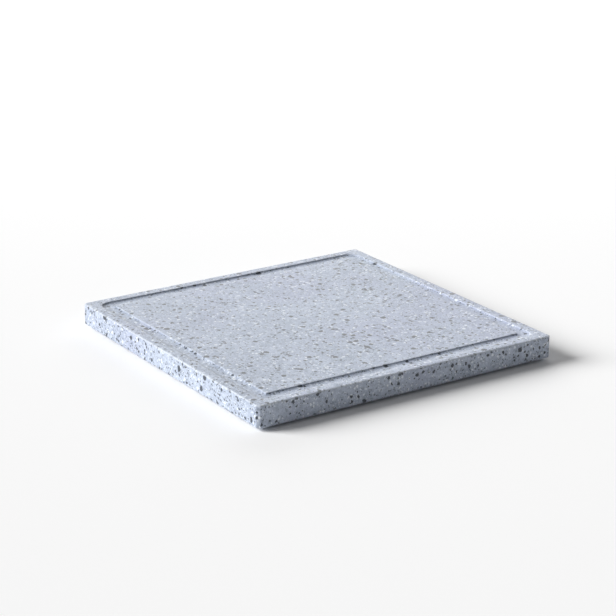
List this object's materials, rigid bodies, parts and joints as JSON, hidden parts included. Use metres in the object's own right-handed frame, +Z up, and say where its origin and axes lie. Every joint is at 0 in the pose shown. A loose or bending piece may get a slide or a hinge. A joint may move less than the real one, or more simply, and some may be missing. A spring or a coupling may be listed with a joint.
{
  "type": "granite slab",
  "caption": "Square slab of speckled pale grey granite with a routed drip groove round its top, a narrow rim, a flat working plateau, and thin stick-on rubber feet.",
  "frame": {"origin": "on the surface the feet stand on, under the middle of the slab", "axes": "+Z up; X and Y along the slab's sides; the front corner of the picture is at -X, -Y"},
  "size_m": [0.3, 0.3, 0.0226],
  "materials": {
    "granite": "honed, matt, light blue-grey with black, dark grey and white crystals",
    "rubber": "matt black moulded rubber",
    "tape_film": "translucent off-white double-sided tape"
  },
  "bodies": {
    "root": {"granite_slab": "granite", "foot_front_left": "rubber", "foot_front_right": "rubber", "foot_back_right": "rubber", "foot_back_left": "rubber", "tape_front_left": "tape_film", "tape_front_right": "tape_film", "tape_back_right": "tape_film", "tape_back_left": "tape_film"}
  },
  "joints": []
}
